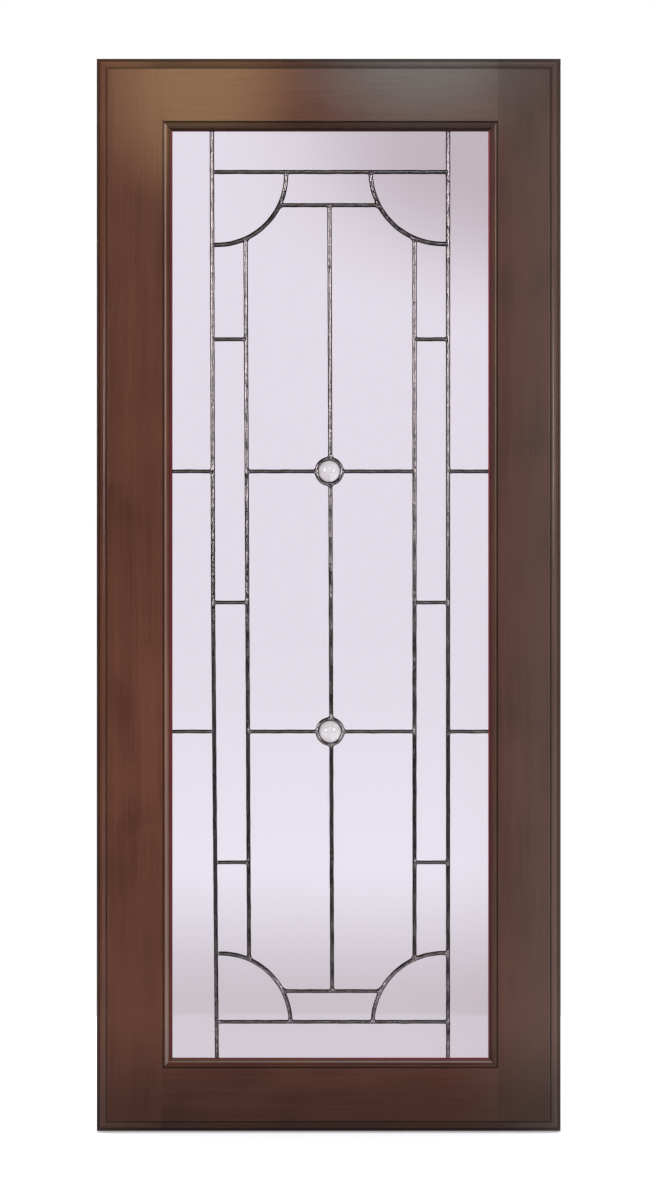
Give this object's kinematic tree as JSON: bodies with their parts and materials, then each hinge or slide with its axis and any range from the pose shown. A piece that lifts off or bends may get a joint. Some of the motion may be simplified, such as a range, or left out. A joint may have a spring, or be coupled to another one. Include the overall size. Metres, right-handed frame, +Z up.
{
  "type": "leaded glass cabinet door",
  "caption": "Tall framed door leaf: moulded stained-wood stiles and rails round a soldered clear glass panel with corner arcs, narrow columns and small domed nuggets.",
  "frame": {"origin": "on the hinge edge: the middle of the left outer edge, half way up and half way through the thickness", "axes": "+X from the hinge edge across the leaf, +Y from the moulded front towards the back, +Z up"},
  "size_m": [0.46, 0.02, 1.063],
  "materials": {
    "stained_wood": "satin lacquer over a dark red-brown stain",
    "bead_wood": "the same stain, plainer",
    "clear_glass": "clear polished sheet, faintly cool",
    "nugget_glass": "clear fire-polished nugget",
    "solder": "darkened tin-lead solder, bright on its crowns"
  },
  "bodies": {
    "root": {"stile_left": "stained_wood", "stile_right": "stained_wood", "rail_top": "stained_wood", "rail_bottom": "stained_wood", "glazing_bead_left": "bead_wood", "glazing_bead_right": "bead_wood", "glazing_bead_top": "bead_wood", "glazing_bead_bottom": "bead_wood", "solder_lattice": "solder", "nugget_upper": "nugget_glass", "nugget_lower": "nugget_glass", "pane_margin_left_top": "clear_glass", "pane_margin_left_middle": "clear_glass", "pane_margin_left_bottom": "clear_glass", "pane_margin_right_top": "clear_glass", "pane_margin_right_middle": "clear_glass", "pane_margin_right_bottom": "clear_glass", "pane_head_strip": "clear_glass", "pane_foot_strip": "clear_glass", "pane_head_band": "clear_glass", "pane_foot_band": "clear_glass", "pane_corner_top_left": "clear_glass", "pane_corner_top_right": "clear_glass", "pane_corner_bottom_left": "clear_glass", "pane_corner_bottom_right": "clear_glass", "pane_column_left_1": "clear_glass", "pane_column_left_2": "clear_glass", "pane_column_left_3": "clear_glass", "pane_column_left_4": "clear_glass", "pane_column_right_1": "clear_glass", "pane_column_right_2": "clear_glass", "pane_column_right_3": "clear_glass", "pane_column_right_4": "clear_glass", "pane_centre_left_top": "clear_glass", "pane_centre_left_middle": "clear_glass", "pane_centre_left_bottom": "clear_glass", "pane_centre_right_top": "clear_glass", "pane_centre_right_middle": "clear_glass", "pane_centre_right_bottom": "clear_glass"}
  },
  "joints": []
}
